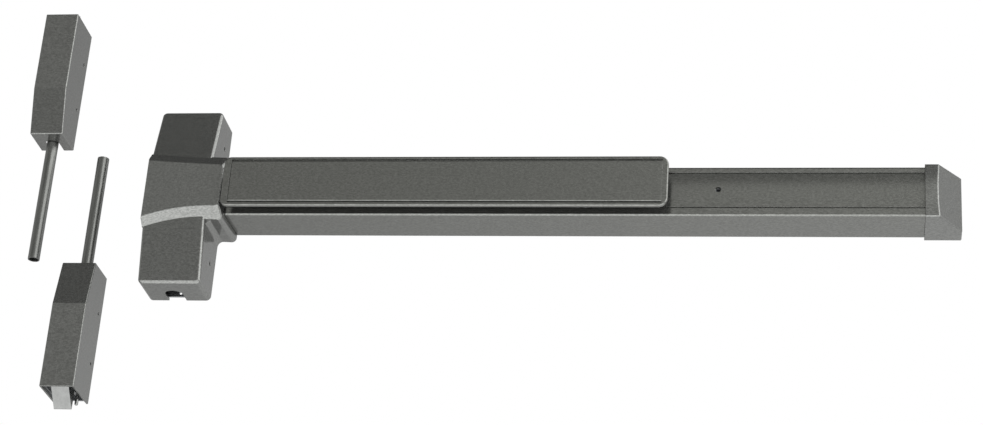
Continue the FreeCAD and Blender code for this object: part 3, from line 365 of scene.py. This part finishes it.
@dataclass
class CentreCase(SubAssembly):
    """Case cover, chassis, lift slides and levers.

    Attributes:
        half_mm: Half the case's width.
        round_mm: Radius of the sloped blocks' edges.
        waist_mm: Distance from the door at which the blocks meet the hub.
        wall_mm: Thickness of the skirts.
        sunk_mm: Depth of the skirts under the slopes that they carry on.
        lap_mm: How far the skirts start before the slopes end.
        turn_steps: Number of flats round each corner of a skirt.
        skirts: The skirts, upper and lower.
    """

    half_mm: float = 33.95
    round_mm: float = 3.5
    waist_mm: float = 57.0
    wall_mm: float = 1.0
    sunk_mm: float = 0.05
    lap_mm: float = 3.0
    turn_steps: int = 12
    skirts: tuple[Skirt, ...] = (
        Skirt("upper_skirt", start_mm=41.2, end_mm=33.5, climb=0.2703),
        Skirt("lower_skirt", start_mm=-44.8, end_mm=-31.0, climb=0.1756),
    )

    def build(self) -> None:
        """Coat the nodes and run the blocks' slopes on into the hub."""
        super().build()
        for skirt in self.skirts:
            self.carry_on(skirt)

    def carry_on(self, skirt: Skirt) -> None:
        """Carry a block's sloped front on to the hub, over the flat strip between them.

        Args:
            skirt: The skirt that does it.
        """
        outside = self.section(self.round_mm)
        inside = self.section(self.round_mm - self.wall_mm)
        loop = outside + inside[::-1]
        root = skirt.start_mm + math.copysign(self.lap_mm, skirt.start_mm - skirt.end_mm)
        back = self.sunk_mm + self.lap_mm * skirt.climb
        forward = abs(skirt.end_mm - skirt.start_mm) * skirt.climb - self.sunk_mm
        mesh = bmesh.new()
        near = [mesh.verts.new((x * MM, (y + back) * MM, root * MM)) for x, y in loop]
        far = [mesh.verts.new((x * MM, (y - forward) * MM, skirt.end_mm * MM)) for x, y in loop]
        for at in range(len(loop)):
            after = (at + 1) % len(loop)
            face = mesh.faces.new((near[at], near[after], far[after], far[at]))
            face.smooth = after not in (0, len(outside))
        for at in range(len(outside) - 1):
            for end in (near, far):
                mesh.faces.new((end[at], end[at + 1], end[-2 - at], end[-1 - at]))
        for edge in mesh.edges:
            edge.smooth = all(face.smooth for face in edge.link_faces)
        piece = new_piece(skirt.name, mesh)
        self.shop.coat(piece, Slot.COVER)
        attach(piece, "housing")

    def section(self, radius: float) -> list[tuple[float, float]]:
        """Work out a skirt's section, x and y from right to left, with rounded corners.

        Args:
            radius: Corner radius in mm, about the same centres as the blocks' edges.

        Returns:
            The points in mm.
        """
        steps = range(self.turn_steps + 1)
        turns = [math.radians(90.0 * step / self.turn_steps) for step in steps]
        inner, back = self.half_mm - self.round_mm, self.round_mm - self.waist_mm
        right = [
            (inner + radius * math.cos(turn), back - radius * math.sin(turn)) for turn in turns
        ]
        return right + [(-x, y) for x, y in reversed(right)]

    def slots(self) -> dict[Slot, list[str]]:
        """Name the case's nodes by finish."""
        return {
            Slot.COVER: ["case_cover"],
            Slot.SCREW: ["case_cover_screws"],
            Slot.PLATED: [
                "case_chassis", "splice_plate", "lever_pivot_pins", "top_lift_slide",
                "bottom_lift_slide", "upper_lift_lever", "lower_lift_lever",
            ],
        }


class PushRail(SubAssembly):
    """Rail, its fillers and the linkage inside it."""

    def slots(self) -> dict[Slot, list[str]]:
        """Name the rail's nodes by finish."""
        sides = ("left", "right")
        return {
            Slot.RAIL: ["rail_channel", "filler_plate"],
            Slot.COVER: ["end_cap"],
            Slot.SCREW: ["bracket_screws"],
            Slot.SPRING: [f"crank_spring_{side}" for side in sides],
            Slot.PLATED: [
                *(f"crank_bracket_{side}" for side in sides),
                *(f"bell_crank_{side}" for side in sides),
                "end_bracket", "crank_pivot_pins", "drive_bar", "dogging_bracket",
                "dogging_spindle", "dogging_hook",
            ],
        }


@dataclass
class PushPad(SubAssembly):
    """The pad that a hand pushes.

    Attributes:
        face_low_mm: Lowest corner of the face plate, x, y and z.
        face_high_mm: Its highest corner.
        face_round_mm: Radius of the plate's front edges.
        face_flats: Number of flats round each of those edges.
        match_mm: How near two places are taken to be the same.
    """

    face_low_mm: Vector = field(default_factory=lambda: Vector((60.9, -76.5, -23.2)))
    face_high_mm: Vector = field(default_factory=lambda: Vector((516.0, -74.5, 23.2)))
    face_round_mm: float = 1.1
    face_flats: int = 6
    match_mm: float = 0.0001

    def build(self) -> None:
        """Coat the nodes and make the face plate."""
        super().build()
        self.face_plate()

    def face_plate(self) -> None:
        """Make the plate with soft front edges that draw a light line, except at its right."""
        mesh = bmesh.new()
        bmesh.ops.create_cube(mesh, size=1.0)
        size = self.face_high_mm - self.face_low_mm
        middle = (self.face_high_mm + self.face_low_mm) / 2
        for corner in mesh.verts:
            corner.co = Vector(middle[i] + corner.co[i] * size[i] for i in range(3)) * MM
        front, right = self.face_low_mm.y * MM, self.face_high_mm.x * MM
        near = self.match_mm * MM
        edges = [
            edge for edge in mesh.edges
            if all(abs(end.co.y - front) < near for end in edge.verts)
            and any(abs(end.co.x - right) > near for end in edge.verts)
        ]
        bmesh.ops.bevel(mesh, geom=edges, offset=self.face_round_mm * MM, segments=self.face_flats,
                        profile=0.5, affect="EDGES")
        piece = new_piece("pad_face_plate", mesh)
        self.shop.coat(piece, Slot.RAIL)
        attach(piece, "push_pad")
        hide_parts("pad_face")

    def slots(self) -> dict[Slot, list[str]]:
        """Name the pad's nodes by finish, without the face that the plate stands for."""
        return {
            Slot.RAIL: ["pad_base", "pad_end_left", "pad_end_right"],
            Slot.PLATED: ["pad_bracket_left", "pad_bracket_right", "pad_pins"],
        }


@dataclass(frozen=True)
class SpringFit:
    """How one of a latch's springs is held.

    Attributes:
        node: Name of its node, without the latch's place.
        body: Body that it stands on.
        joint: Joint that presses it, without the latch's place. Not used.
        keep: Share of its length that is left when it is pressed. Not used.
    """

    node: str
    body: str
    joint: str
    keep: float


@dataclass
class LatchSet(SubAssembly):
    """Cover, chassis, bolt, trigger and rod of the top or bottom latch.

    Attributes:
        place: "top" or "bottom".
    """

    place: str = "top"

    def build(self) -> None:
        """Coat the nodes and stand rigid copies in for the springs."""
        super().build()
        self.coil(SpringFit("bolt_spring", f"{self.place}_rod", "bolt_press", keep=0.739))
        self.coil(SpringFit("trigger_spring", "housing", "trigger_press", keep=0.619))

    def coil(self, spring: SpringFit) -> None:
        """Stand a copy in for a spring's rigid node, on the body that the spring stands on.

        Args:
            spring: How the spring is held.
        """
        node = self.frame["nodes"][f"{self.place}_{spring.node}"]
        piece = bpy.data.objects.new(f"{self.place}_{spring.node}_coil", node.data.copy())
        piece.matrix_world = node.matrix_world.copy()
        bpy.context.scene.collection.objects.link(piece)
        self.shop.coat(piece, Slot.SPRING)
        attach(piece, spring.body)
        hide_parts(node.name)
        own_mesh(piece)

    def slots(self) -> dict[Slot, list[str]]:
        """Name the latch's nodes by finish."""
        groups = {
            Slot.COVER: ["latch_cover"],
            Slot.SCREW: ["latch_screws"],
            Slot.ROD: ["rod"],
            Slot.BOLT: ["latch_bolt", "trigger_pin"],
            Slot.SPRING: ["bolt_spring", "trigger_spring"],
            Slot.PLATED: [
                "latch_chassis", "bolt_guide", "connector_guide", "rod_connector", "connector_pin",
            ],
        }
        return {slot: [f"{self.place}_{node}" for node in nodes] for slot, nodes in groups.items()}


@dataclass(frozen=True)
class Lamp:
    """A soft rectangular lamp.

    Attributes:
        name: Lamp's name.
        place: Where it stands.
        facing: Direction it shines in.
        size: Width and height in metres.
        power: Power in watts.
    """

    name: str
    place: tuple[float, float, float]
    facing: tuple[float, float, float]
    size: tuple[float, float]
    power: float


@dataclass
class Studio:
    """Camera, floor, world and lamps.

    Attributes:
        eye: Camera position.
        ahead: Direction the camera looks in.
        above: The camera's up direction.
        lens_mm: Focal length.
        sensor_mm: Width of the camera's sensor.
        reach: How far the camera sees.
        floor_middle: Middle of the floor.
        floor_size: Length of the floor's sides.
        floor_share: Share of the floor's plain white in what the camera and reflections see.
        floor_fade: Places along X, from the floor's middle, between which that white grows.
        floor_white: Strength of the white at those two places, in reflections.
        front_levels: Light from in front of the object, by height from -1 to 1.
        back_levels: Light from behind it, in the same way.
        side_levels: Share of that light, from -1 at the left to 1 at the right.
        turn_levels: Places along Y between which the light in front turns into that behind.
        front_tint: Colour of the light in front, a little warmer than the rest.
        panels: The lamps.
    """

    eye: Vector = field(default_factory=lambda: Vector((0.70212, -2.18435, -1.04451)))
    ahead: Vector = field(default_factory=lambda: Vector((-0.15225188, 0.89166081, 0.42633363)))
    above: Vector = field(default_factory=lambda: Vector((-0.00160475, -0.43158503, 0.90207083)))
    lens_mm: float = 84.37
    sensor_mm: float = 36.0
    reach: float = 60.0
    floor_middle: tuple[float, float, float] = (0.3, 0.0, -3.6)
    floor_size: float = 60.0
    floor_share: float = 0.84
    floor_fade: tuple[float, float] = (-3.5, 0.8)
    floor_white: tuple[float, float] = (0.62, 1.0)
    front_levels: Levels = (
        (-1.0, 1.0), (-0.1, 0.45), (0.1, 0.50), (0.22, 0.56), (0.34, 0.66), (0.49, 0.68),
        (0.535, 0.29), (0.6, 0.20), (0.7, 0.23), (0.82, 0.26), (1.0, 0.08),
    )
    back_levels: Levels = ((-1.0, 0.9), (0.2, 0.75), (0.45, 0.50), (0.75, 0.25), (1.0, 0.08))
    side_levels: Levels = (
        (-1.0, 1.3), (-0.8, 1.0), (-0.6, 0.72), (-0.4, 0.70), (-0.3, 0.73), (-0.15, 0.84),
        (0.0, 1.16), (0.15, 1.12), (0.3, 1.02), (0.6, 1.10), (0.85, 1.36), (1.0, 1.3),
    )
    turn_levels: tuple[float, float] = (-0.15, 0.45)
    front_tint: tuple[float, float, float] = (1.0, 1.0, 0.965)
    panels: tuple[Lamp, ...] = (
        Lamp("below", (0.2, -2.3, -1.6), facing=(0.0, 0.0, 1.0), size=(6.0, 6.2), power=164.0),
        Lamp("front", (0.2, -5.4, -1.15), facing=(0.0, 1.0, 0.0), size=(6.0, 0.9), power=21.0),
        Lamp("right", (1.7, -1.95, 3.1), facing=(-1.0, 0.0, 0.0), size=(4.1, 6.8), power=168.0),
        Lamp("right_rear", (1.7, 0.75, 2.15), facing=(-1.0, 0.0, 0.0), size=(1.3, 2.1), power=16.4),
    )

    def build(self) -> None:
        """Set up everything round the object."""
        self.camera()
        self.world()
        self.floor()
        for panel in self.panels:
            self.light(panel)
        bpy.context.scene.view_settings.view_transform = "Standard"

    def camera(self) -> None:
        """Stand the camera where the photograph was taken from."""
        data = bpy.data.cameras.new("camera")
        data.lens = self.lens_mm
        data.sensor_width = self.sensor_mm
        data.clip_end = self.reach
        data.dof.use_dof = False
        camera = bpy.data.objects.new("camera", data)
        right = self.ahead.cross(self.above).normalized()
        up = right.cross(self.ahead).normalized()
        turn = Matrix((right, up, -self.ahead.normalized())).transposed()
        camera.matrix_world = Matrix.Translation(self.eye) @ turn.to_4x4()
        bpy.context.scene.collection.objects.link(camera)
        bpy.context.scene.camera = camera

    def world(self) -> None:
        """Light from all round: pale behind, grey in front, dark above, and white to the camera."""
        world = bpy.data.worlds.new("studio")
        bpy.context.scene.world = world
        world.use_nodes = True
        tree = world.node_tree
        tree.nodes.clear()
        where = add_node(tree, "ShaderNodeTexCoord", (0, 0), {})
        split = add_node(tree, "ShaderNodeSeparateXYZ", (1, 0), {
            "Vector": where.outputs["Generated"],
        })
        front = self.gradient(tree, 0, split.outputs["Z"], self.front_levels, self.front_tint)
        back = self.gradient(tree, 1, split.outputs["Z"], self.back_levels)
        side = self.gradient(tree, 3, split.outputs["X"], self.side_levels)
        start, end = self.turn_levels
        behind = add_node(tree, "ShaderNodeMapRange", (3, 2), {
            "Value": split.outputs["Y"], "From Min": start, "From Max": end,
        }, interpolation_type="SMOOTHSTEP")
        level = add_node(tree, "ShaderNodeMix", (4, 0), {
            "Factor": behind.outputs["Result"], MIX_A: front, MIX_B: back,
        }, data_type="RGBA")
        lit = add_node(tree, "ShaderNodeVectorMath", (5, 1), {
            0: level.outputs[MIX_RESULT], 1: side,
        }, operation="MULTIPLY")
        path = add_node(tree, "ShaderNodeLightPath", (5, 2), {})
        seen = add_node(tree, "ShaderNodeMix", (6, 0), {
            "Factor": path.outputs["Is Camera Ray"],
            MIX_A: lit.outputs["Vector"], MIX_B: linear("#ffffff"),
        }, data_type="RGBA")
        glow = add_node(tree, "ShaderNodeBackground", (7, 0), {
            "Color": seen.outputs[MIX_RESULT], "Strength": 1.0,
        })
        add_node(tree, "ShaderNodeOutputWorld", (8, 0), {"Surface": glow.outputs["Background"]})

    def gradient(
        self, tree: bpy.types.NodeTree, row: int, along: bpy.types.NodeSocket, levels: Levels,
        tint: tuple[float, float, float] = (1.0, 1.0, 1.0),
    ) -> bpy.types.NodeSocket:
        """Add light that changes along one direction.

        Args:
            tree: Tree that takes the nodes.
            row: Their row in the editor.
            along: Place along that direction, from -1 to 1.
            levels: Places and the level of light at each, lowest place first.
            tint: Colour of the light.

        Returns:
            The output that gives the light.
        """
        share = add_node(tree, "ShaderNodeMapRange", (2, row), {
            "Value": along, "From Min": -1.0, "From Max": 1.0,
        })
        ramp = add_node(tree, "ShaderNodeValToRGB", (3, row), {"Fac": share.outputs["Result"]})
        stops = ramp.color_ramp.elements
        while len(stops) < len(levels):
            stops.new(0.5)
        for stop, (place, level) in zip(stops, levels):
            stop.position = (place + 1.0) / 2.0
            stop.color = (*(level * part for part in tint), 1.0)
        return ramp.outputs["Color"]

    def floor(self) -> None:
        """A pale floor far below, white to the camera, which still takes shadows.

        In reflections it is a little darker towards the left, as in the photograph.
        """
        bpy.ops.mesh.primitive_plane_add(size=self.floor_size, location=self.floor_middle)
        floor = bpy.context.active_object
        floor.name = "floor"
        material = bpy.data.materials.new("pale_floor")
        material.use_nodes = True
        tree = material.node_tree
        tree.nodes.clear()
        path = add_node(tree, "ShaderNodeLightPath", (-1, 2), {})
        camera, glossy, through = (
            path.outputs[f"Is {kind} Ray"] for kind in ("Camera", "Glossy", "Transmission")
        )
        where = add_node(tree, "ShaderNodeTexCoord", (-3, 1), {})
        split = add_node(tree, "ShaderNodeSeparateXYZ", (-2, 1), {
            "Vector": where.outputs["Object"],
        })
        left, right = self.floor_fade
        dim, plain = self.floor_white
        fade = add_node(tree, "ShaderNodeMapRange", (-1, 1), {
            "Value": split.outputs["X"], "From Min": left, "From Max": right,
            "To Min": dim, "To Max": plain,
        })
        full = add_node(tree, "ShaderNodeMath", (0, 1), {
            0: fade.outputs["Result"], 1: camera,
        }, operation="MAXIMUM")
        either = add_node(tree, "ShaderNodeMath", (0, 2), {
            0: camera, 1: glossy,
        }, operation="MAXIMUM")
        shown = add_node(tree, "ShaderNodeMath", (1, 2), {
            0: either.outputs["Value"], 1: through,
        }, operation="MAXIMUM")
        share = add_node(tree, "ShaderNodeMath", (2, 2), {
            0: shown.outputs["Value"], 1: self.floor_share,
        }, operation="MULTIPLY")
        paint = add_node(tree, "ShaderNodeBsdfDiffuse", (2, 0), {"Color": linear("#f4f4f2")})
        white = add_node(tree, "ShaderNodeEmission", (2, 1), {
            "Color": linear("#ffffff"), "Strength": full.outputs["Value"],
        })
        mixed = add_node(tree, "ShaderNodeMixShader", (3, 0), {
            "Fac": share.outputs["Value"], 1: paint.outputs["BSDF"], 2: white.outputs["Emission"],
        })
        add_node(tree, "ShaderNodeOutputMaterial", (4, 0), {"Surface": mixed.outputs["Shader"]})
        floor.data.materials.append(material)

    def light(self, panel: Lamp) -> None:
        """Add a lamp that the camera doesn't see.

        The panels below and in front draw the lower edges, those at the right the upright ones.

        Args:
            panel: The lamp to add.
        """
        data = bpy.data.lights.new(panel.name, "AREA")
        data.shape = "RECTANGLE"
        data.size, data.size_y = panel.size
        data.energy = panel.power
        lamp = bpy.data.objects.new(panel.name, data)
        lamp.location = panel.place
        lamp.rotation_mode = "QUATERNION"
        lamp.rotation_quaternion = Vector(panel.facing).to_track_quat("-Z", "Y")
        lamp.visible_camera = False
        bpy.context.scene.collection.objects.link(lamp)


def main() -> None:
    """Build the scene."""
    logging.basicConfig(level=logging.INFO, format="%(message)s")
    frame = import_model()
    shop = MetalShop(FINISHES)
    CentreCase("centre case", frame, shop).build()
    PushRail("push rail", frame, shop).build()
    PushPad("push pad", frame, shop).build()
    LatchSet("top latch", frame, shop, "top").build()
    LatchSet("bottom latch", frame, shop, "bottom").build()
    Studio().build()


if __name__ == "__main__":
    main()
